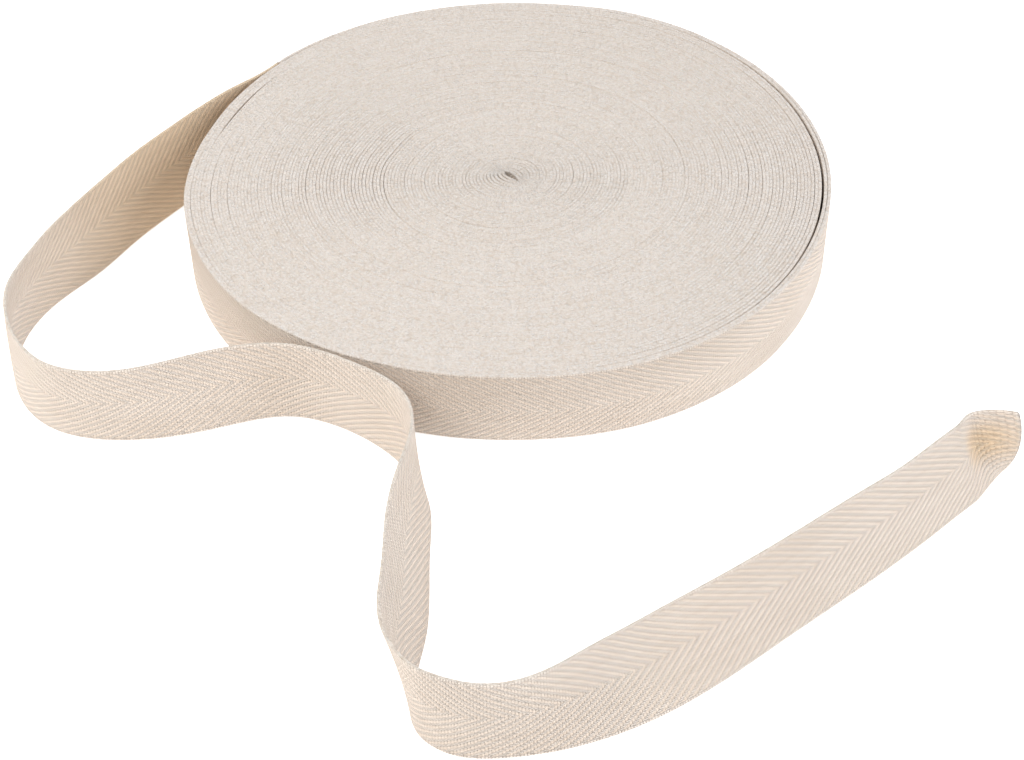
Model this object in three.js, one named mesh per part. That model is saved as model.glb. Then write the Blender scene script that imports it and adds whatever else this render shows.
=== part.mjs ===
// A roll of woven cotton tape that lies flat, with its outer end unwound over the floor.
// Millimetres, +Z up, origin at the centre of the roll's flat base.
import * as THREE from "three";

const tapeWidth = 25;
const tapeThickness = 1;
const rollRadius = 105;
const pieceGap = 0.3;
const rimRounding = 0.6;
const looseTurnsWidth = 2.1;
const looseTurnsGap = 0.4;
const looseTurnsGapDepth = 2;
const innerTurnsDrop = 0.3;
const selvedgeRounding = 0.35;
const leaveAngle = 141;
const huggingTurns = [0, 4];
const rollFacets = 240;
const sectionSpacing = 3;

const tapeCream = 0xe9dccb;
const rollCream = 0xe4d9cd;

// Where the lower edge of the loose end stands on the floor, row by row from the roll to the cut end.
// lean is in degrees and positive when the upper edge tips to the left of the way the tape runs.
const looseEndRows = [
  { fold: "leaves the roll", x: -92, y: 51.5, lean: -2 },
  { fold: "leaves the roll", x: -99, y: 36, lean: -18 },
  { fold: "run down the left", x: -113, y: 12, lean: -29 },
  { fold: "run down the left", x: -125, y: -5, lean: -20 },
  { fold: "run down the left", x: -134.5, y: -21.5, lean: -18 },
  { fold: "left bend", x: -146.5, y: -37.5, lean: -3 },
  { fold: "left bend", x: -153.5, y: -60, lean: 1 },
  { fold: "left bend", x: -149.5, y: -80.5, lean: 5 },
  { fold: "left bend", x: -138.5, y: -94.5, lean: 5 },
  { fold: "front run", x: -117, y: -101, lean: 6 },
  { fold: "front run", x: -87, y: -96, lean: 17 },
  { fold: "closest to the roll", x: -66.5, y: -91.5, lean: 11 },
  { fold: "middle bend", x: -47, y: -99, lean: 8 },
  { fold: "middle bend", x: -33, y: -112, lean: 8 },
  { fold: "middle bend", x: -24.5, y: -129, lean: -11 },
  { fold: "twisted run", x: -24, y: -148, lean: -22 },
  { fold: "twisted run", x: -24, y: -178, lean: -26 },
  { fold: "near bend", x: -27, y: -200, lean: -11 },
  { fold: "near bend", x: -24.5, y: -210.5, lean: 3 },
  { fold: "near bend", x: -17, y: -216.5, lean: 9 },
  { fold: "near bend", x: -3, y: -218, lean: 8 },
  { fold: "long run", x: 18, y: -214, lean: 26 },
  { fold: "long run", x: 47, y: -199.5, lean: 44 },
  { fold: "long run", x: 70.5, y: -181.5, lean: 33 },
  { fold: "long run", x: 89, y: -167, lean: 30 },
  { fold: "long run", x: 112.5, y: -147.5, lean: 25 },
  { fold: "curled tip", x: 122.5, y: -138.5, lean: 23 },
  { fold: "curled tip", x: 131, y: -131, lean: 22 },
  { fold: "curled tip", x: 136, y: -124.5, lean: 11 },
  { fold: "cut end", x: 139.5, y: -120, lean: -5 },
];

// How far the outer turn stands out from or falls short of the roll's radius, going round from the place
// where the tape leaves, in degrees. The roll bulges at the left, where its outer turns sit loose.
const outlineRows = [
  { turned: 0, bulge: -2.1 },
  { turned: 18, bulge: -2.1 },
  { turned: 30, bulge: -1.3 },
  { turned: 40, bulge: -0.2 },
  { turned: 50, bulge: 0.7 },
  { turned: 62, bulge: 1.0 },
  { turned: 74, bulge: 1.2 },
  { turned: 86, bulge: 0.5 },
  { turned: 100, bulge: -0.5 },
  { turned: 114, bulge: -1.4 },
  { turned: 128, bulge: -1.4 },
  { turned: 142, bulge: -0.7 },
  { turned: 156, bulge: 0.0 },
  { turned: 168, bulge: 0.1 },
  { turned: 185, bulge: -0.4 },
  { turned: 200, bulge: -0.8 },
  { turned: 220, bulge: -0.7 },
  { turned: 245, bulge: -0.2 },
  { turned: 265, bulge: 0.4 },
  { turned: 278, bulge: 0.8 },
  { turned: 290, bulge: 0.1 },
  { turned: 302, bulge: -1.0 },
  { turned: 318, bulge: -1.2 },
  { turned: 340, bulge: -0.8 },
  { turned: 360, bulge: -0.5 },
];

const radians = THREE.MathUtils.degToRad;

// A closed skin over a series of loops with the same number of points, capped at both ends.
// Each loop runs counterclockwise seen from the end towards which the series goes.
function skinOver(loops) {
  const count = loops[0].length;
  const last = (loops.length - 1) * count;
  const startCentre = loops.length * count;
  const endCentre = startCentre + 1;
  const points = loops.flat();
  for (const loop of [loops[0], loops[loops.length - 1]]) {
    const centre = new THREE.Vector3();
    loop.forEach((point) => centre.addScaledVector(point, 1 / count));
    points.push(centre);
  }
  const faces = [];
  for (let i = 0; i < count; i++) {
    const next = (i + 1) % count;
    faces.push(startCentre, next, i);
    faces.push(endCentre, last + i, last + next);
    for (let row = 0; row < last; row += count) {
      faces.push(row + i, row + next, row + count + next);
      faces.push(row + i, row + count + next, row + count + i);
    }
  }
  const geometry = new THREE.BufferGeometry().setFromPoints(points);
  geometry.setIndex(faces);
  geometry.computeVertexNormals();
  return geometry;
}

// The smooth curve through values given at rising knots, with no bend at its two ends.
function smoothThrough(knots, values) {
  const last = knots.length - 1;
  const curvature = new Array(last + 1).fill(0);
  const carry = new Array(last + 1).fill(0);
  for (let i = 1; i < last; i++) {
    const before = knots[i] - knots[i - 1];
    const after = knots[i + 1] - knots[i];
    const turn = (values[i + 1] - values[i]) / after - (values[i] - values[i - 1]) / before;
    const pivot = 2 * (before + after) - before * carry[i - 1];
    carry[i] = after / pivot;
    curvature[i] = (6 * turn - before * curvature[i - 1]) / pivot;
  }
  for (let i = last - 1; i > 0; i--) {
    curvature[i] -= carry[i] * curvature[i + 1];
  }
  return (along) => {
    let i = 0;
    while (i < last - 1 && along > knots[i + 1]) i++;
    const span = knots[i + 1] - knots[i];
    const b = (along - knots[i]) / span;
    const a = 1 - b;
    const bend = (a ** 3 - a) * curvature[i] + (b ** 3 - b) * curvature[i + 1];
    return a * values[i] + b * values[i + 1] + (bend * span ** 2) / 6;
  };
}

// The roll: its outline ends further out than it begins, so a step as thick as the tape is left
// where the outer turn comes away.
const bulgeAt = smoothThrough(outlineRows.map((row) => row.turned), outlineRows.map((row) => row.bulge));

function rollOutline(height, inset) {
  const loop = [];
  for (let i = 0; i <= rollFacets; i++) {
    const turned = (360 * i) / rollFacets;
    const angle = radians(leaveAngle + turned);
    const radius = rollRadius + bulgeAt(turned) - inset;
    loop.push(new THREE.Vector3(radius * Math.cos(angle), radius * Math.sin(angle), height));
  }
  return loop;
}

// The outer two turns are wound looser than the rest and stand a hair away from them,
// which shows as a narrow dark gap round the top face.
const gapFloor = tapeWidth - looseTurnsGapDepth;
const innerTurnsInset = looseTurnsWidth + looseTurnsGap;
const rollLoops = [
  rollOutline(0, rimRounding),
  rollOutline(rimRounding, 0),
  rollOutline(tapeWidth - rimRounding, 0),
  rollOutline(tapeWidth, rimRounding),
  rollOutline(tapeWidth, looseTurnsWidth),
  rollOutline(gapFloor, looseTurnsWidth),
  rollOutline(gapFloor, innerTurnsInset),
  rollOutline(tapeWidth - innerTurnsDrop, innerTurnsInset),
];

// The loose end: its centre line starts on the roll, just past the step.
const startAngle = radians(leaveAngle) + pieceGap / rollRadius;
const startRadius = rollRadius + bulgeAt(360) - tapeThickness / 2;
const huggingRows = huggingTurns.map((turn) => {
  const angle = startAngle + radians(turn);
  return { x: startRadius * Math.cos(angle), y: startRadius * Math.sin(angle), lean: 0 };
});
const rows = [...huggingRows, ...looseEndRows];
const knots = [0];
for (let i = 1; i < rows.length; i++) {
  knots.push(knots[i - 1] + Math.hypot(rows[i].x - rows[i - 1].x, rows[i].y - rows[i - 1].y));
}
const xAt = smoothThrough(knots, rows.map((row) => row.x));
const yAt = smoothThrough(knots, rows.map((row) => row.y));
const leanAt = smoothThrough(knots, rows.map((row) => row.lean));

// The tape's own cross-section, a flat strip with rounded selvedges.
const half = tapeThickness / 2;
const nose = half - selvedgeRounding;
const profile = [
  { depth: nose, across: 0 },
  { depth: half, across: selvedgeRounding },
  { depth: half, across: tapeWidth / 2 },
  { depth: half, across: tapeWidth - selvedgeRounding },
  { depth: nose, across: tapeWidth },
  { depth: -nose, across: tapeWidth },
  { depth: -half, across: tapeWidth - selvedgeRounding },
  { depth: -half, across: tapeWidth / 2 },
  { depth: -half, across: selvedgeRounding },
  { depth: -nose, across: 0 },
];

function tapeSection(along) {
  const slope = 0.01;
  const run = new THREE.Vector3(
    xAt(along + slope) - xAt(along - slope),
    yAt(along + slope) - yAt(along - slope),
    0,
  ).normalize();
  const left = new THREE.Vector3(-run.y, run.x, 0);
  const lean = radians(leanAt(along));
  const rise = new THREE.Vector3(0, 0, Math.cos(lean)).addScaledVector(left, Math.sin(lean));
  const through = new THREE.Vector3(0, 0, -Math.sin(lean)).addScaledVector(left, Math.cos(lean));
  const loop = profile.map(({ depth, across }) =>
    new THREE.Vector3(xAt(along), yAt(along), 0)
      .addScaledVector(rise, across)
      .addScaledVector(through, depth),
  );
  const lowest = Math.min(...loop.map((point) => point.z));
  loop.forEach((point) => (point.z -= lowest));
  return loop;
}

const tapeLength = knots[knots.length - 1];
const sectionCount = Math.round(tapeLength / sectionSpacing);
const tapeLoops = [];
for (let i = 0; i <= sectionCount; i++) {
  tapeLoops.push(tapeSection((tapeLength * i) / sectionCount));
}

function named(name, geometry, color) {
  const mesh = new THREE.Mesh(geometry, new THREE.MeshStandardMaterial({ color, roughness: 0.95 }));
  mesh.name = name;
  return mesh;
}

const tapeRoll = new THREE.Group();
tapeRoll.add(named("roll", skinOver(rollLoops), rollCream));
tapeRoll.add(named("loose_end", skinOver(tapeLoops), tapeCream));

export default tapeRoll;
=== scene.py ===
# %% [markdown]
# # A flat roll of cotton tape
# The object is one long strip of natural cotton herringbone tape. Most of it is wound flat on itself,
# about ninety turns, and the last 0.6 m stands loose on its edge in soft bends.
# The solids in the frame hold its size and place. Everything here is built in metres in that same frame.

import math

import bpy
import numpy as np
from mathutils import Matrix, Vector


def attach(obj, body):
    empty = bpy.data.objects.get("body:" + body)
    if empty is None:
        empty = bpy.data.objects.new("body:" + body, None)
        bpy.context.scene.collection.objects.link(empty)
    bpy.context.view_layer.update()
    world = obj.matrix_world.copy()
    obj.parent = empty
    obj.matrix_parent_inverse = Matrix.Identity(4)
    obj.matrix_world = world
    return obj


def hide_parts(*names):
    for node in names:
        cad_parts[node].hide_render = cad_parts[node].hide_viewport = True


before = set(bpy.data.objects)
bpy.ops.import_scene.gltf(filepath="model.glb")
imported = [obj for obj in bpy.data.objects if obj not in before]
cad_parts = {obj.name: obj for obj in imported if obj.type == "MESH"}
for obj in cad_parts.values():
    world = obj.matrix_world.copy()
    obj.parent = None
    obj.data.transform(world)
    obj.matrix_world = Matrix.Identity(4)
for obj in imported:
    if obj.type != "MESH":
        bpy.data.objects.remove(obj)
scene = bpy.context.scene
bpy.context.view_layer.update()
MM = 0.001
TAPE_WIDTH = 25.0
TAPE_THICKNESS = 1.0
ROLL_RADIUS = 105.0
LEAVE_ANGLE = math.radians(141.0)

# %% [markdown]
# ## The camera
# The roll's two rims and both edges of the loose end were matched with a pinhole camera.
# That gives one place, one height and one lens that explain them all at once, which is why the
# camera is written as a distance and an elevation from a point on the floor.

# %% Place the camera
CAMERA_DISTANCE = 0.5781
CAMERA_ELEVATION = math.radians(41.72)
CAMERA_ROLL = math.radians(-0.78)
CAMERA_TARGET = Vector((-0.0001, -0.0767, 0.0))
CAMERA_LENS = 66.62

backward = Vector((0, -math.cos(CAMERA_ELEVATION), math.sin(CAMERA_ELEVATION)))
level_right = Vector((1, 0, 0))
level_up = level_right.cross(-backward)
right = math.cos(CAMERA_ROLL) * level_right + math.sin(CAMERA_ROLL) * level_up
up = -math.sin(CAMERA_ROLL) * level_right + math.cos(CAMERA_ROLL) * level_up

camera = bpy.data.objects.new("camera", bpy.data.cameras.new("camera"))
scene.collection.objects.link(camera)
camera.data.lens = CAMERA_LENS
camera.data.sensor_width = 36.0
camera.data.clip_start = 0.01
camera.matrix_world = Matrix.Translation(CAMERA_TARGET + CAMERA_DISTANCE * backward) @ (
    Matrix((right, up, backward)).transposed().to_4x4())
scene.camera = camera
print("camera at", tuple(round(c, 3) for c in camera.location))

# %% [markdown]
# ## Sums that a node tree works out
# A weave and a winding are both rules, so their trees are mostly arithmetic.
# `Sum` wraps a socket so that such a rule can be written as an ordinary formula: each `+` or `*`
# adds one Math node. It serves the shaders and the Geometry Nodes alike. Python looks up an operator by
# its own name, such as `__add__`, so one table of names gives the class all of them.

# %% A socket that can be calculated with
class Sum:
    def __init__(self, tree, socket):
        self.tree, self.socket = tree, socket

    def node(self, operation, *others, clamp=False):
        made = self.tree.nodes.new("ShaderNodeMath")
        made.operation, made.use_clamp = operation, clamp
        for place, value in zip(made.inputs, others):
            plug(self.tree, value, place)
        return Sum(self.tree, made.outputs[0])

    def above(self, level):
        return self.node("GREATER_THAN", self, level)

    def at_least(self, level):
        return self.node("MAXIMUM", self, level)

    def kept(self):
        """The value held between 0 and 1."""
        return self.node("ADD", self, 0.0, clamp=True)

    def towards(self, other, share):
        return self + (other - self) * share


OPERATORS = {"add": "ADD", "sub": "SUBTRACT", "mul": "MULTIPLY", "truediv": "DIVIDE", "pow": "POWER"}
FUNCTIONS = {"floor": "FLOOR", "fract": "FRACT", "sin": "SINE", "cos": "COSINE", "root": "SQRT",
             "size": "ABSOLUTE"}


def add_operator(name, operation):
    def on_left(self, other):
        return self.node(operation, self, other)

    def on_right(self, other):
        return self.node(operation, other, self)

    setattr(Sum, f"__{name}__", on_left)
    setattr(Sum, f"__r{name}__", on_right)


def add_function(name, operation):
    def of_itself(self):
        return self.node(operation, self)

    setattr(Sum, name, of_itself)


for name, operation in OPERATORS.items():
    add_operator(name, operation)
for name, operation in FUNCTIONS.items():
    add_function(name, operation)
print("a Sum can", ", ".join([*OPERATORS, *FUNCTIONS]))

# %% [markdown]
# A few more kinds of node come back again and again: a smooth step, a vector put together or taken apart,
# noise, random numbers, and the frame of a node group.

# %% Nodes that most trees need
def plug(tree, value, place):
    """Feeds a socket with a Sum, another socket or a plain value."""
    if isinstance(value, Sum):
        value = value.socket
    if isinstance(value, bpy.types.NodeSocket):
        tree.links.new(value, place)
    else:
        place.default_value = value


def rise(value, low, high):
    """0 below low, 1 above high and a smooth climb between them."""
    made = value.tree.nodes.new("ShaderNodeMapRange")
    made.interpolation_type = "SMOOTHSTEP"
    plug(value.tree, value, made.inputs["Value"])
    plug(value.tree, low, made.inputs["From Min"])
    plug(value.tree, high, made.inputs["From Max"])
    return Sum(value.tree, made.outputs["Result"])


def vector(tree, x, y, z):
    made = tree.nodes.new("ShaderNodeCombineXYZ")
    for place, value in zip(made.inputs, (x, y, z)):
        plug(tree, value, place)
    return made.outputs[0]


def parts_of(tree, socket):
    made = tree.nodes.new("ShaderNodeSeparateXYZ")
    plug(tree, socket, made.inputs[0])
    return [Sum(tree, out) for out in made.outputs]


def speckle(tree, place, detail=2.0):
    """Smooth noise around 0, from a vector or from one number."""
    made = tree.nodes.new("ShaderNodeTexNoise")
    single = isinstance(place, Sum)
    made.noise_dimensions = "1D" if single else "3D"
    plug(tree, place, made.inputs["W" if single else "Vector"])
    made.inputs["Scale"].default_value = 1.0
    made.inputs["Detail"].default_value = detail
    return Sum(tree, made.outputs[0]) - 0.5


def chance(tree, place):
    """An even random number from 0 to 1 for each whole number."""
    made = tree.nodes.new("ShaderNodeTexWhiteNoise")
    made.noise_dimensions = "1D"
    plug(tree, place, made.inputs["W"])
    return Sum(tree, made.outputs["Value"])


def group_with(kind, name, inputs, outputs):
    """A node group with named sockets. Returns it, its inputs by name, and its output node."""
    tree = bpy.data.node_groups.new(name, kind)
    for label, default in inputs.items():
        socket = tree.interface.new_socket(label, in_out="INPUT", socket_type="NodeSocketFloat")
        socket.default_value = default
    for label, socket_type in outputs.items():
        tree.interface.new_socket(label, in_out="OUTPUT", socket_type=socket_type)
    entry = tree.nodes.new("NodeGroupInput")
    return tree, {o.name: o for o in entry.outputs if o.name}, tree.nodes.new("NodeGroupOutput")

# %% [markdown]
# ## The weave
# Herringbone tape is a two-over, two-under twill whose slant turns round half way across.
# Each warp yarn runs along the tape, rises over two weft yarns and dives under two, and its neighbour
# does the same one weft later. The risen stretches line up as slanting ridges, and the ridges of the
# lower and upper half meet in the middle as arrowheads.
# Yarns are far too fine to model on half a metre of tape, so the rule is worked out in the shader from
# an attribute called `tape`, which every piece carries: metres along, across and through the tape.
# Inside the groups these three are millimetres.

# %% The herringbone as a node group
WARP_PITCH = 0.45
WEFT_PITCH = 0.86
TURN_LINE = 13.5
WEFTS_IN_REPEAT = 4.0
TAPE_PLACE = {"Along": 0.0, "Across": 0.0, "Depth": 0.0}


def herringbone_group():
    tree, given, result = group_with(
        "ShaderNodeTree", "Herringbone",
        TAPE_PLACE | {"Warp pitch": WARP_PITCH, "Weft pitch": WEFT_PITCH, "Turn line": TURN_LINE},
        {"Height": "NodeSocketFloat", "Yarn": "NodeSocketFloat"})
    along, across, depth = (Sum(tree, given[k]) for k in TAPE_PLACE)

    # no yarn lies quite straight
    wander = speckle(tree, vector(tree, along * 0.05, across * 0.05, 0.0), 3.0)
    wefts = along / given["Weft pitch"] + wander * 1.2
    warps = across / given["Warp pitch"] + speckle(tree, along * 0.02) * 0.5
    warp = warps.floor()

    # the slant turns round at the turn line, and the two faces show opposite yarns
    upper = across.above(given["Turn line"])
    back = depth.above(0.0)
    wave = ((wefts + warp * (upper * 2.0 - 1.0) + back * 2.0) / WEFTS_IN_REPEAT).fract()
    lift = (wave * (2 * math.pi)).sin()
    over = rise(lift, -0.35, 0.45)
    offset = warps.fract() * 2.0 - 1.0
    warp_round = (1.0 - offset * offset * 0.92).root()
    weft_round = 1.0 - (wefts.fract() * 2.0 - 1.0) ** 2.0
    warp_top = warp_round * (0.72 + 0.28 * lift.kept())
    woven = (weft_round * 0.22).towards(warp_top, over)

    # along both selvedges the wefts turn back, a bead each
    selvedge = rise((across / TAPE_WIDTH - 0.5).size() * 2.0, 0.925, 0.955)
    bead = (wefts * math.pi).sin().size().root()
    height = woven.towards(0.25 + bead * 0.6, selvedge)
    yarn = chance(tree, warp + back * 71.0).towards(chance(tree, wefts.floor()), selvedge)
    plug(tree, height, result.inputs["Height"])
    plug(tree, yarn, result.inputs["Yarn"])
    return tree


HERRINGBONE = herringbone_group()
print("herringbone group:", len(HERRINGBONE.nodes), "nodes,", round(TAPE_WIDTH / WARP_PITCH), "warp yarns")

# %% [markdown]
# Spun cotton is not smooth: the yarn is twisted, thick and thin by turns, and covered in short hairs.
# One group gives that fine unevenness to any cotton surface, stretched along the yarn.

# %% The cotton fibre as a node group
def fibre_group():
    tree, given, result = group_with(
        "ShaderNodeTree", "Cotton fibre", TAPE_PLACE,
        {"Fuzz": "NodeSocketFloat", "Shade": "NodeSocketFloat", "Fleck": "NodeSocketFloat"})
    along, across, depth = (Sum(tree, given[k]) for k in TAPE_PLACE)
    hairs = speckle(tree, vector(tree, along * 2.2, across * 6.0, depth * 6.0), 3.0)
    slubs = speckle(tree, vector(tree, along * 0.12, across * 1.6, depth * 1.6), 3.0)
    patches = speckle(tree, vector(tree, along * 0.03, across * 0.06, depth * 0.3))
    seeds = speckle(tree, vector(tree, along * 0.55, across * 1.3, depth * 1.3), 1.0)
    plug(tree, hairs, result.inputs["Fuzz"])
    plug(tree, slubs * 0.6 + patches * 0.9, result.inputs["Shade"])
    plug(tree, rise(seeds, 0.31, 0.36), result.inputs["Fleck"])
    return tree


FIBRE = fibre_group()
print("cotton fibre group:", len(FIBRE.nodes), "nodes")

# %% [markdown]
# At each selvedge the weft turns back round the last warp yarn, so the tape's edge, seen edge on, is a row
# of small rounded beads of uneven size. On the roll's top face these edges are all that shows.

# %% The selvedge beads as a node group
BEAD_LENGTH = 1.15
BEAD_WIDTH = 1.6
BEAD_DEPTH = 1.1


def beads_group():
    tree, given, result = group_with(
        "ShaderNodeTree", "Selvedge beads", TAPE_PLACE,
        {"Height": "NodeSocketFloat", "Edge": "NodeSocketFloat"})
    along, across, depth = (Sum(tree, given[k]) for k in TAPE_PLACE)
    cells = tree.nodes.new("ShaderNodeTexVoronoi")
    cells.feature = "F1"
    cells.inputs["Scale"].default_value = 1.0
    place = vector(tree, along / BEAD_LENGTH, across / BEAD_WIDTH, depth / BEAD_DEPTH)
    plug(tree, place, cells.inputs["Vector"])
    bead = 1.05 - Sum(tree, cells.outputs["Distance"])
    tall = speckle(tree, along * 0.45)
    plug(tree, (bead + tall * 0.5).kept(), result.inputs["Height"])
    plug(tree, rise((across / TAPE_WIDTH - 0.5).size(), 0.488, 0.4965), result.inputs["Edge"])
    return tree


BEADS = beads_group()
print("selvedge beads group:", len(BEADS.nodes), "nodes")

# %% [markdown]
# ## The cloth's colour
# Raw cotton is a pale cream. In the gaps between the yarns shade is painted: a browner cream, as light that
# has passed several yarns is, mixed in by how deep a point lies in the weave, together with the yarns' own
# uneven tone.
# The material swaps to the beads where the tape is seen edge on.
# A warm shade is painted as well, on the inner face of the stretch next to the roll, which the roll shades,
# and round the hollow near the cut end. One painted tint is laid over both.

# %% Colours of the tape
CREAM = (0.93, 0.82, 0.722)
CREAM_IN_SHADE = (0.50, 0.34, 0.205)
LOOSE_SELVEDGE = (0.77, 0.71, 0.64)
WOUND_SELVEDGE = (0.765, 0.715, 0.672)
# painted warm shade, multiplied over the cream: next to the roll on the inner face, and round the hollow near
# the cut end
PAINTED_WARM_SHADE = (1.0, 0.87, 0.67)
WARM_SHADE_STRENGTH = 0.85
ROLL_SHADE_LENGTH = 150.0
HOLLOW_SHADE_ALONG = 593.5
HOLLOW_SHADE_ACROSS = 14.5


def warm_shade_mask(along, across, depth):
    """1 where warm shade is painted on the loose end: on the inner face next to the roll, and on the outer
    face round the hollow near the cut end.
    """
    inner_face = rise(depth, -0.2, 0.2)
    shaded_by_roll = (1.0 - rise(along, 0.4 * ROLL_SHADE_LENGTH, ROLL_SHADE_LENGTH)) * inner_face
    near_tip = 1.0 - rise((along - HOLLOW_SHADE_ALONG).size(), 1.5, 8.0)
    mid_width = 1.0 - rise((across - HOLLOW_SHADE_ACROSS).size(), 2.0, 9.0)
    return shaded_by_roll + near_tip * mid_width * (1.0 - inner_face)


def mixed(tree, share, first, second, way="MIX"):
    """Two colours mixed by a share, each of them three numbers or a socket."""
    made = tree.nodes.new("ShaderNodeMix")
    made.data_type = "RGBA"
    made.blend_type = way
    plug(tree, share, made.inputs["Factor"])
    for label, colour in (("A", first), ("B", second)):
        plug(tree, (*colour, 1.0) if isinstance(colour, tuple) else colour, made.inputs[label])
    return made.outputs["Result"]

# %% [markdown]
# The yarns and the beads also stand out as a fine relief, so the same height feeds a bump: raised yarns
# catch the light and the gaps between them stay dull. Cotton is matt, with a soft sheen from its hairs.

# %% The cotton tape material
WEAVE_HEIGHT = 0.85
PAINTED_RECESS_SHADE = 0.42


def cotton_tape(name, selvedge_colour, shade_painted):
    material = bpy.data.materials.new(name)
    material.use_nodes = True
    tree = material.node_tree
    shader = tree.nodes["Principled BSDF"]
    place = tree.nodes.new("ShaderNodeAttribute")
    place.attribute_name = "tape"
    along, across, depth = (part * (1 / MM) for part in parts_of(tree, place.outputs["Vector"]))
    groups = {}
    for label, group in (("weave", HERRINGBONE), ("fibre", FIBRE), ("beads", BEADS)):
        made = groups[label] = tree.nodes.new("ShaderNodeGroup")
        made.node_tree = group
        for socket, value in zip(TAPE_PLACE, (along, across, depth)):
            plug(tree, value, made.inputs[socket])

    def part(label, output):
        return Sum(tree, groups[label].outputs[output])

    edge_on = part("beads", "Edge")
    height = part("weave", "Height").towards(part("beads", "Height"), edge_on)
    recess = (1.0 - height).kept()
    fuzz = part("fibre", "Fuzz")
    yarn_tone = (part("weave", "Yarn") - 0.5) * 0.10 * (1.0 - edge_on)
    # painted shade: the deeper a point lies in the weave, the more its colour goes to CREAM_IN_SHADE; the
    # yarns' random tone, slubs, hairs and flecks are real colour mixed into the same share
    shade_and_tone = recess * PAINTED_RECESS_SHADE + yarn_tone - part("fibre", "Shade") * 0.30 - fuzz * 0.14
    shade_and_tone = (shade_and_tone + part("fibre", "Fleck") * 0.12).kept()
    colour = mixed(tree, shade_and_tone, mixed(tree, edge_on, CREAM, selvedge_colour), CREAM_IN_SHADE)
    if shade_painted:
        # painted warm shade next to the roll and round the hollow near the cut end
        painted_warmth = warm_shade_mask(along, across, depth) * WARM_SHADE_STRENGTH
        colour = mixed(tree, painted_warmth, colour, PAINTED_WARM_SHADE, "MULTIPLY")
    plug(tree, colour, shader.inputs["Base Color"])

    bump = tree.nodes.new("ShaderNodeBump")
    bump.inputs["Distance"].default_value = WEAVE_HEIGHT * MM
    plug(tree, height + fuzz * 0.35, bump.inputs["Height"])
    plug(tree, bump.outputs["Normal"], shader.inputs["Normal"])
    plug(tree, 0.90 + recess * 0.08, shader.inputs["Roughness"])
    shader.inputs["IOR"].default_value = 1.35
    shader.inputs["Specular IOR Level"].default_value = 0.25
    shader.inputs["Sheen Weight"].default_value = 0.25
    shader.inputs["Sheen Roughness"].default_value = 0.6
    return material


TAPE_CLOTH = cotton_tape("cotton_tape", LOOSE_SELVEDGE, shade_painted=True)
WOUND_CLOTH = cotton_tape("wound_cotton_tape", WOUND_SELVEDGE, shade_painted=False)
for cloth in (TAPE_CLOTH, WOUND_CLOTH):
    print("material", cloth.name, "with", len(cloth.node_tree.nodes), "nodes")

# %% [markdown]
# ## Where the loose end stands
# The loose end stands on its lower edge, so its shape is a line on the floor and, at each point of that
# line, how far the tape leans over. The rows below are that line from the roll to the cut end.
# A smooth curve is drawn through the rows, because cloth doesn't kink where nothing folds it.

# %% The loose end's line on the floor
START_ANGLE = LEAVE_ANGLE + 0.3 / ROLL_RADIUS
START_RADIUS = ROLL_RADIUS - 0.5 - TAPE_THICKNESS / 2
HUGGING_TURNS = [0, 4]
FLOOR_LINE = [  # x, y in mm, and lean in degrees
    (-92, 51.5, -2), (-99, 36, -18),
    (-113, 12, -29), (-125, -5, -20), (-134.5, -21.5, -18),
    (-146.5, -37.5, -3), (-153.5, -60, 1), (-149.5, -80.5, 5), (-138.5, -94.5, 5),
    (-117, -101, 6), (-87, -96, 17), (-66.5, -91.5, 11),
    (-47, -99, 8), (-33, -112, 8), (-24.5, -129, -11),
    (-24, -148, -22), (-24, -178, -26),
    (-27, -200, -11), (-24.5, -210.5, 3), (-17, -216.5, 9), (-3, -218, 8),
    (18, -214, 26), (47, -199.5, 44), (70.5, -181.5, 33), (89, -167, 30), (112.5, -147.5, 25),
    (122.5, -138.5, 24), (128, -133.7, 24), (131, -131, 24),
    (134, -127.4, 23.5), (136.8, -123.8, 19), (139.5, -120, -4),
]
rows = np.array([
    (START_RADIUS * math.cos(START_ANGLE + math.radians(turn)),
     START_RADIUS * math.sin(START_ANGLE + math.radians(turn)), 0.0) for turn in HUGGING_TURNS
] + FLOOR_LINE)
knots = np.concatenate([[0.0], np.cumsum(np.hypot(*np.diff(rows[:, :2], axis=0).T))])


def bend_at_knots(knots, values):
    """Second derivatives of the smooth curve through the values, with none at its ends."""
    count = len(knots)
    gaps = np.diff(knots)
    system, turns = np.eye(count), np.zeros(values.shape)
    for i in range(1, count - 1):
        system[i, i - 1:i + 2] = gaps[i - 1], 2 * (gaps[i - 1] + gaps[i]), gaps[i]
        turns[i] = 6 * ((values[i + 1] - values[i]) / gaps[i] - (values[i] - values[i - 1]) / gaps[i - 1])
    return np.linalg.solve(system, turns)


bends = bend_at_knots(knots, rows)


def floor_line_at(along):
    """x, y and lean at a distance along the line, all at once for an array of distances."""
    i = np.clip(np.searchsorted(knots, along, side="right") - 1, 0, len(knots) - 2)
    span = (knots[i + 1] - knots[i])[:, None]
    b = (along - knots[i])[:, None] / span
    a = 1 - b
    bend = (a ** 3 - a) * bends[i] + (b ** 3 - b) * bends[i + 1]
    return a * rows[i] + b * rows[i + 1] + bend * span ** 2 / 6


LOOSE_LENGTH = knots[-1]
print("loose end", round(LOOSE_LENGTH), "mm along the floor")

# %% [markdown]
# ## The loose end as cloth
# The strip is one closed sheet: a ring of points round the tape's section, carried along the floor line.
# At each place the section's width runs up the leaning tape and its depth runs through it.

# %% One section of the tape, and how it stands
SELVEDGE_ROUNDING = 0.35
POINTS_ACROSS = 26
SLOPE_STEP = 0.05


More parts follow.
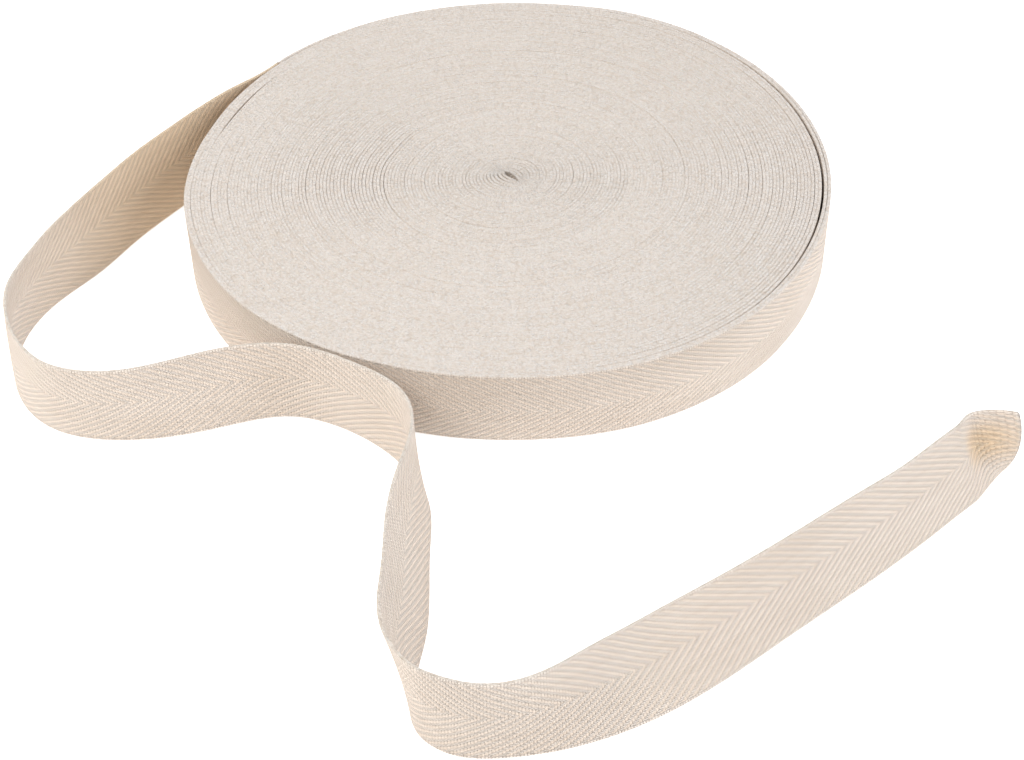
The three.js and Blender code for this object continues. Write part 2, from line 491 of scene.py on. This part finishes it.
def tape_ring():
    """Across and depth of the points round one section, in mm, from the inner lower corner."""
    half = TAPE_THICKNESS / 2
    flat = np.linspace(SELVEDGE_ROUNDING, TAPE_WIDTH - SELVEDGE_ROUNDING, POINTS_ACROSS)
    corner = 0.25 * SELVEDGE_ROUNDING
    across = np.concatenate([[corner], flat, [TAPE_WIDTH - corner]])
    thin = np.full(across.size, half)
    thin[0] = thin[-1] = 0.62 * half
    inner_face = np.stack([across, thin], 1)
    outer_face = np.stack([across[::-1], -thin[::-1]], 1)
    return np.concatenate([inner_face, [[TAPE_WIDTH, 0.0]], outer_face, [[0.0, 0.0]]])


def ways_at(along):
    """Unit vectors up the leaning tape's width and out of its inner face, at each distance along it."""
    ahead = floor_line_at(np.minimum(along + SLOPE_STEP, LOOSE_LENGTH))
    behind = floor_line_at(np.maximum(along - SLOPE_STEP, 0))
    run = ahead[:, :2] - behind[:, :2]
    run /= np.hypot(*run.T)[:, None]
    left = np.stack([-run[:, 1], run[:, 0], np.zeros(len(run))], 1)
    lean = np.radians(floor_line_at(along)[:, 2:])
    vertical = np.array([[0.0, 0.0, 1.0]])
    return np.cos(lean) * vertical + np.sin(lean) * left, np.cos(lean) * left - np.sin(lean) * vertical


ring = tape_ring()
print("one section has", len(ring), "points")

# %% [markdown]
# Cloth is never quite flat across its width, and its selvedges ripple where they are a little slack.
# The last few millimetres, stiff from the winding, curl out in the middle behind a shallow hollow.
# The plain solid leaves all of this out, so it is added to each section's depth. Next to the roll, where
# the tape is still held tight, it fades away.

# %% How the cloth sways
CUP_DEPTH, CUP_WAVE = 0.45, 70
UPPER_RIPPLE, UPPER_WAVE = 0.40, 17
LOWER_RIPPLE, LOWER_WAVE = 0.18, 21
TIGHT_UNTIL, FREE_FROM = 14, 44
HOLLOW_DEPTH, HOLLOW_TO_END, HOLLOW_ACROSS = 1.3, 7.5, 14.0
CURL_DEPTH, CURL_REACH = 3.0, 7.0
SECTION_SPACING = 0.8
CURL_SECTIONS = 33


def smooth_random(generator, positions, wavelength):
    """A smooth random line with values from about -1 to 1."""
    levels = generator.uniform(-1, 1, int(positions[-1] / wavelength) + 4)
    where = positions / wavelength + 1
    i = where.astype(int)
    share = where - i
    share = share * share * (3 - 2 * share)
    return levels[i] * (1 - share) + levels[i + 1] * share


def cloth_sway(generator, along, across):
    """How far the cloth stands off its flat section, in mm: a row for each distance along the tape."""
    share = across / TAPE_WIDTH
    arch = 4 * share * (1 - share)
    cup = CUP_DEPTH * smooth_random(generator, along, CUP_WAVE)[:, None] * (arch - 0.6)
    upper = UPPER_RIPPLE * smooth_random(generator, along, UPPER_WAVE)[:, None] * share ** 3
    lower = LOWER_RIPPLE * smooth_random(generator, along, LOWER_WAVE)[:, None] * (1 - share) ** 3
    free = np.clip((along - TIGHT_UNTIL) / (FREE_FROM - TIGHT_UNTIL), 0, 1)[:, None]
    to_end = (LOOSE_LENGTH - along)[:, None]
    round_hollow = ((to_end - HOLLOW_TO_END) / 5.0) ** 2 + ((across - HOLLOW_ACROSS) / 8.0) ** 2
    curl = CURL_DEPTH * np.clip(1 - to_end / CURL_REACH, 0, 1) ** 1.6 * arch
    return free * (cup + upper + lower) + HOLLOW_DEPTH * np.exp(-round_hollow) - curl


curl_start = LOOSE_LENGTH - 2 * CURL_REACH
station = np.concatenate([np.arange(0, curl_start, SECTION_SPACING),
                          np.linspace(curl_start, LOOSE_LENGTH, CURL_SECTIONS)])
sway = cloth_sway(np.random.default_rng(7), station, ring[None, :, 0])
print(len(station), "sections sway from", sway.min().round(2), "to", sway.max().round(2), "mm")

# %% [markdown]
# The sections are joined into one closed sheet, and no point may lie below the floor. Each point keeps
# where it lies on the tape, so the weave follows the cloth round its bends as on the real tape.

# %% Build the loose end
def tube_faces(section_count, ring_count):
    """Quads between neighbouring sections, and one face over each end."""
    i, j = np.meshgrid(np.arange(section_count - 1), np.arange(ring_count), indexing="ij")
    k = (j + 1) % ring_count
    quads = np.stack([i * ring_count + j, i * ring_count + k,
                      (i + 1) * ring_count + k, (i + 1) * ring_count + j], -1).reshape(-1, 4)
    last = (section_count - 1) * ring_count
    ends = [tuple(range(ring_count))[::-1], tuple(range(last, last + ring_count))]
    return [tuple(quad) for quad in quads.tolist()] + ends


def cloth_mesh(name, points, faces, tape_place, material):
    mesh = bpy.data.meshes.new(name)
    mesh.from_pydata((points * MM).tolist(), [], faces)
    mesh.attributes.new("tape", "FLOAT_VECTOR", "POINT").data.foreach_set("vector", (tape_place * MM).ravel())
    mesh.shade_smooth()
    mesh.materials.append(material)
    mesh.validate()
    made = bpy.data.objects.new(name, mesh)
    scene.collection.objects.link(made)
    return made


across, depth = ring[None, :, 0], ring[None, :, 1]
up_way, through_way = ways_at(station)
foot = floor_line_at(station) * (1, 1, 0)
points = (foot[:, None] + up_way[:, None] * across[:, :, None]
          + through_way[:, None] * (depth + sway)[:, :, None])
points[:, :, 2] -= np.minimum(points[:, :, 2].min(axis=1), 0)[:, None]
tape_place = np.stack(np.broadcast_arrays(station[:, None], across, depth), -1)
loose_end = cloth_mesh("loose_end_cloth", points.reshape(-1, 3), tube_faces(len(station), len(ring)),
                       tape_place.reshape(-1, 3), TAPE_CLOTH)
print("loose end:", len(loose_end.data.polygons), "faces")

# %% [markdown]
# ## The roll's outline
# Nobody winds a perfectly round roll by hand. Going round from where the tape leaves it, the outer turn
# bulges at the left and at the back and falls short in front. The rows say by how much, and both the
# solid in the frame and the turns below follow them.

# %% The roll's outline
OUTLINE = [  # degrees turned from where the tape leaves, and how far out from the roll's radius in mm
    (0, -2.1), (18, -2.1), (30, -1.3), (40, -0.2), (50, 0.7), (62, 1.0), (74, 1.2), (86, 0.5), (100, -0.5),
    (114, -1.4), (128, -1.4), (142, -0.7), (156, 0.0), (168, 0.1), (185, -0.4), (200, -0.8), (220, -0.7),
    (245, -0.2), (265, 0.4), (278, 0.8), (290, 0.1), (302, -1.0), (318, -1.2), (340, -0.8), (360, -0.5),
]
OUTLINE_REACH = 3.0


def outline_curve(tree, share):
    """The outline's rows as a smooth curve, read at a share of the way round."""
    made = tree.nodes.new("ShaderNodeFloatCurve")
    places = [(turned / 360, 0.5 + bulge / OUTLINE_REACH / 2) for turned, bulge in OUTLINE]
    points = made.mapping.curves[0].points
    for place in places[1:-1]:
        points.new(*place)
    points[0].location = places[0]
    points[len(points) - 1].location = places[-1]
    made.mapping.update()
    plug(tree, share, made.inputs["Value"])
    return (Sum(tree, made.outputs[0]) - 0.5) * (2 * OUTLINE_REACH)


bulges = [bulge for _, bulge in OUTLINE]
print("roll between", ROLL_RADIUS + min(bulges), "and", ROLL_RADIUS + max(bulges), "mm")

# %% [markdown]
# ## The wound turns
# The roll is the same tape wound on itself, so it is made the way it is wound: one long spiral line
# swept with the tape's cross-section. Geometry Nodes suit this, because the whole roll follows one rule
# with a few sizes: thickness of a turn, number of turns, and how unevenly the turns sit.
# The spiral's points are even steps of wound tape, so each one works out from its own number how much
# tape lies before it, and from that which turn it is on.

# %% Which turn a point of the spiral is on
TURN_PITCH = 1.10
TURNS = 93.0
CORE_EASE = 8.0  # mm added to the reach of a turn, so that the tight first turns get enough steps


def spiral_steps(tree, given):
    """The turn that each point is on, the tape wound before it in mm, and the number of steps."""
    pitch = Sum(tree, given["Turn pitch"])

    def wound_by(turn):
        reach = CORE_EASE + pitch * turn
        return (reach * reach - CORE_EASE ** 2) * math.pi / pitch

    wound_before = wound_by(Sum(tree, given["First turn"]))
    to_wind = wound_by(Sum(tree, given["Last turn"])) - wound_before
    steps = (to_wind / given["Step"]).floor()
    number = Sum(tree, tree.nodes.new("GeometryNodeInputIndex").outputs[0])
    wound = wound_before + number * (to_wind / steps)
    turn = ((wound * pitch / math.pi + CORE_EASE ** 2).root() - CORE_EASE) / pitch
    return turn, wound, steps


print(TURNS, "turns,", TURN_PITCH, "mm apart")

# %% [markdown]
# The outer turn has the roll's outline, and each turn further in shows less of it. The outer two turns came
# loose a little when the end was pulled off, so a dark gap runs inside them, widest at the right.
# The winding isn't centred: its middle lies nearer the front. The first turns of all are folded flat,
# slantwise, because a hand starts a roll by folding the tape over.

# %% How far out each turn runs
OUTLINE_KEPT = 0.93  # share of the outline's bulges that the next turn inwards still shows
FLATNESS_KEPT = 0.80  # share of the folded start's flatness that the next turn outwards still shows
LOOSE_TURNS = 2.0
FOLD = math.radians(-42)
OFF_CENTRE = 5.0
OFF_CENTRE_REACH = 0.62 * ROLL_RADIUS
OVAL = 0.8
STEP_CLOSED = 0.5
INNER_GAP_TURN, INNER_GAP = 4.4, 0.6


def turn_radius(tree, given, to_go, angle, flatness):
    """Distance of each point of the spiral from the roll's middle, in mm."""
    pitch = given["Turn pitch"]
    share = (to_go * -1.0).fract()
    closing = rise(share, 0.92, 1.0) * to_go.above(0.5) * STEP_CLOSED
    bulge = outline_curve(tree, share) + (1.0 - share) * pitch - closing
    outline_share = OUTLINE_KEPT ** (to_go - LOOSE_TURNS).at_least(0.0)
    oval = ((angle - math.radians(25)) * 2.0).cos() * OVAL
    radius = ROLL_RADIUS - TAPE_THICKNESS / 2 - to_go * pitch + bulge * outline_share
    radius = radius + oval * (1.0 - outline_share) * (1.0 - flatness)

    # the gap inside the two loose turns, and a short one further in where the tape leaves
    facing_right = (angle - 0.1).cos().kept()
    facing_leave = (angle - math.radians(157)).cos().kept()
    past_loose = rise(to_go, LOOSE_TURNS - 0.03, LOOSE_TURNS + 0.03)
    radius = radius - past_loose * (0.08 + given["Loose gap"] * facing_right ** 3.0)
    past_inner_gap = rise(to_go, INNER_GAP_TURN - 0.1, INNER_GAP_TURN + 0.1)
    return radius - past_inner_gap * facing_leave ** 60.0 * INNER_GAP


def place_on_floor(given, to_go, radius, angle, flatness):
    """x and y of each point of the spiral, in mm, with the start folded and the middle moved."""
    u = (radius + flatness * 1.6) * (angle - FOLD).cos()
    v = (radius - flatness * 1.2) * (angle - FOLD).sin()
    inwards = (to_go * given["Turn pitch"] / OFF_CENTRE_REACH).kept()
    x = u * math.cos(FOLD) - v * math.sin(FOLD) - inwards * (1.0 - inwards) * OFF_CENTRE + flatness * 0.5
    y = u * math.sin(FOLD) + v * math.cos(FOLD) - inwards * OFF_CENTRE
    return x, y

# %% [markdown]
# Each turn sits a little higher or lower than the next, which gives the rings on the top face. On top of
# that whole areas of the roll were pressed down more than others, and the tape itself waves slightly.

# %% The path of the spiral
SLACK = 0.22
LOWEST = 0.3  # mm that the most pressed turns lie below the tape's full height


def winding_path(tree, given):
    """Position of each point of the spiral, the tape wound before it in mm, and the number of steps."""
    turn, wound, steps = spiral_steps(tree, given)
    to_go = TURNS - turn
    angle = LEAVE_ANGLE - to_go * (2 * math.pi)
    flatness = FLATNESS_KEPT ** turn
    seed = given["Seed"]
    slack = speckle(tree, wound * 0.011 + seed) * SLACK
    radius = turn_radius(tree, given, to_go, angle, flatness) + slack
    x, y = place_on_floor(given, to_go, radius, angle, flatness)

    ring_height = speckle(tree, turn * 1.35 + seed, 1.0)
    patch_height = speckle(tree, vector(tree, x * 0.02, y * 0.02, seed), 1.0)
    small_height = speckle(tree, wound * 0.06 + seed)
    height = ring_height + patch_height * 0.6 + small_height * 0.35
    z = (height * given["Unevenness"] + 0.35).kept() + (TAPE_WIDTH / 2 - LOWEST)
    return vector(tree, x * MM, y * MM, z * MM), wound, steps

# %% [markdown]
# The sweep makes one long strip. Each of its points keeps where it lies on the tape, from the line for the
# length and from the section for the width and the depth, and stores that as the attribute `tape`, so the
# wound cloth wears the same weave as the loose end.

# %% The winding as a Geometry Nodes tree
SECTION_ROUNDING = 0.18
SECTION_WIDTH = TAPE_WIDTH - 0.2


def captured(tree, geometry, socket_type, value):
    """Keeps a value on a geometry's points. Returns the geometry and the kept value."""
    made = tree.nodes.new("GeometryNodeCaptureAttribute")
    made.capture_items.new(socket_type, "Kept")
    plug(tree, geometry, made.inputs["Geometry"])
    plug(tree, value, made.inputs[1])
    return made.outputs[0], made.outputs[1]


def spiral_line(tree, given):
    """The spiral as a curve that stands upright, with the tape wound before each point."""
    position, wound, steps = winding_path(tree, given)
    line = tree.nodes.new("GeometryNodeMeshLine")
    plug(tree, steps + 1.0, line.inputs["Count"])
    spiral = tree.nodes.new("GeometryNodeMeshToCurve")
    plug(tree, line.outputs[0], spiral.inputs["Mesh"])
    place = tree.nodes.new("GeometryNodeSetPosition")
    plug(tree, spiral.outputs[0], place.inputs["Geometry"])
    plug(tree, position, place.inputs["Position"])
    upright = tree.nodes.new("GeometryNodeSetCurveNormal")
    upright.mode = "Z_UP"
    plug(tree, place.outputs[0], upright.inputs["Curve"])
    return captured(tree, upright.outputs[0], "FLOAT", wound * MM)


def wound_section(tree, given):
    """The tape's section as a curve with rounded corners, with the place of each of its points."""
    section = tree.nodes.new("GeometryNodeCurvePrimitiveQuadrilateral")
    plug(tree, Sum(tree, given["Thickness"]) * MM, section.inputs["Width"])
    section.inputs["Height"].default_value = SECTION_WIDTH * MM
    rounded = tree.nodes.new("GeometryNodeFilletCurve")
    rounded.mode = "POLY"
    rounded.inputs["Count"].default_value = 2
    rounded.inputs["Radius"].default_value = SECTION_ROUNDING * MM
    plug(tree, section.outputs[0], rounded.inputs["Curve"])
    position = tree.nodes.new("GeometryNodeInputPosition").outputs[0]
    return captured(tree, rounded.outputs[0], "VECTOR", position)


def winding_tree(material):
    tree, given, result = group_with(
        "GeometryNodeTree", "Wind the tape",
        {"First turn": 0.0, "Last turn": TURNS, "Turn pitch": TURN_PITCH, "Step": 2.6,
         "Thickness": 1.09, "Unevenness": 0.45, "Loose gap": 0.7, "Seed": 3.0},
        {"Geometry": "NodeSocketGeometry"})
    spiral, wound = spiral_line(tree, given)
    section, place = wound_section(tree, given)
    sweep = tree.nodes.new("GeometryNodeCurveToMesh")
    sweep.inputs["Fill Caps"].default_value = True
    plug(tree, spiral, sweep.inputs["Curve"])
    plug(tree, section, sweep.inputs["Profile Curve"])
    section_x, section_y, _ = parts_of(tree, place)
    store = tree.nodes.new("GeometryNodeStoreNamedAttribute")
    store.data_type, store.domain = "FLOAT_VECTOR", "POINT"
    store.inputs["Name"].default_value = "tape"
    plug(tree, sweep.outputs[0], store.inputs["Geometry"])
    plug(tree, vector(tree, wound, section_y + TAPE_WIDTH / 2 * MM, section_x), store.inputs["Value"])
    real = tree.nodes.new("GeometryNodeRealizeInstances")
    plug(tree, store.outputs[0], real.inputs[0])
    finish = tree.nodes.new("GeometryNodeSetMaterial")
    finish.inputs["Material"].default_value = material
    plug(tree, real.outputs[0], finish.inputs["Geometry"])
    plug(tree, finish.outputs[0], result.inputs[0])
    return tree


WINDING = winding_tree(WOUND_CLOTH)
print("winding tree:", len(WINDING.nodes), "nodes")

# %% [markdown]
# The same tree runs twice, once for the inner and once for the outer turns, so that each of the two meshes
# stays light enough to handle.

# %% Wind the roll
SPLIT_TURN = 66.0


def mesh_made_by(tree, name, **values):
    """Runs a Geometry Nodes tree with the given inputs and keeps the result as a plain mesh."""
    host = bpy.data.objects.new(name + "_host", bpy.data.meshes.new(name + "_host"))
    scene.collection.objects.link(host)
    modifier = host.modifiers.new("nodes", "NODES")
    modifier.node_group = tree
    sockets = {item.name: item.identifier for item in tree.interface.items_tree if item.in_out == "INPUT"}
    for label, value in values.items():
        modifier[sockets[label.replace("_", " ")]] = value
    evaluated = host.evaluated_get(bpy.context.evaluated_depsgraph_get())
    mesh = bpy.data.meshes.new_from_object(evaluated)
    mesh.name = name
    bpy.data.objects.remove(host)
    made = bpy.data.objects.new(name, mesh)
    scene.collection.objects.link(made)
    return made


wound_inner = mesh_made_by(WINDING, "wound_inner_turns", First_turn=0.0, Last_turn=SPLIT_TURN)
wound_outer = mesh_made_by(WINDING, "wound_outer_turns", First_turn=SPLIT_TURN, Last_turn=TURNS)
for piece in (wound_inner, wound_outer):
    piece.data.shade_smooth()
    corners = np.array([v.co for v in piece.data.vertices])
    triangles = sum(len(face.vertices) - 2 for face in piece.data.polygons)
    print(piece.name, triangles, "triangles, from", corners.min(0).round(4), "to", corners.max(0).round(4))

# %% [markdown]
# ## Floor and light
# The object lies on a plain pale floor under wide soft lights, so that the lamps' shade comes only from its
# own form; some shade is painted into the cloth's colour as well.
# A little of the light comes from the floor itself, as from a lit table, and fills the upright faces.

# %% Floor
def studio_floor():
    floor_material = bpy.data.materials.new("pale_floor")
    floor_material.use_nodes = True
    shader = floor_material.node_tree.nodes["Principled BSDF"]
    shader.inputs["Base Color"].default_value = (0.93, 0.93, 0.93, 1)
    shader.inputs["Roughness"].default_value = 0.9
    shader.inputs["Specular IOR Level"].default_value = 0.1
    shader.inputs["Emission Color"].default_value = (1, 1, 1, 1)
    shader.inputs["Emission Strength"].default_value = 0.52
    mesh = bpy.data.meshes.new("floor")
    reach = 6.0
    corners = [(-reach, -reach, 0), (reach, -reach, 0), (reach, reach, 0), (-reach, reach, 0)]
    mesh.from_pydata(corners, [], [(0, 1, 2, 3)])
    mesh.materials.append(floor_material)
    made = bpy.data.objects.new("floor", mesh)
    scene.collection.objects.link(made)
    made.location.z = -0.0002
    return made


floor = studio_floor()
print("floor", tuple(floor.dimensions.xy), "m")

# %% [markdown]
# White light comes from all round, nearly even, as in a tent of white cloth. A small lamp at the upper left
# draws out the slant of the weave, and a wide, cooler one at the right lifts the faces turned that way.

# %% World and lamps
LIT_PLACE = (0, -0.05, 0)


def softbox(name, place, side, power, colour):
    """A square lamp at a place, in metres, that faces the object."""
    lamp = bpy.data.lights.new(name, "AREA")
    lamp.shape, lamp.size = "SQUARE", side
    lamp.energy, lamp.color = power, colour
    made = bpy.data.objects.new(name, lamp)
    scene.collection.objects.link(made)
    made.location = place
    made.rotation_mode = "QUATERNION"
    made.rotation_quaternion = (Vector(LIT_PLACE) - Vector(place)).to_track_quat("-Z", "Y")
    return made


world = bpy.data.worlds.new("studio")
world.use_nodes = True
world.node_tree.nodes["Background"].inputs["Color"].default_value = (1.0, 1.0, 1.0, 1)
world.node_tree.nodes["Background"].inputs["Strength"].default_value = 0.68
scene.world = world
lamps = [softbox("key_box", (-0.75, -0.25, 0.90), 0.4, 7.8, (1.0, 0.985, 0.96)),
         softbox("right_box", (1.15, -0.30, 0.70), 0.9, 10.4, (0.94, 0.99, 1.06))]
scene.view_settings.view_transform = "Standard"
print("lamps:", [(lamp.name, lamp.data.energy) for lamp in lamps])

# %% [markdown]
# ## Handing over
# The two lots of turns take the place of the roll's solid, and the cloth takes the place of the loose end's.
# The loose end is one flat strip, as wide as the tape, that stands on its edge on the floor.

# %% Hand the pieces over
for piece in (wound_inner, wound_outer):
    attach(piece, "root")
    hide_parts("roll")
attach(loose_end, "root")
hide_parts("loose_end")
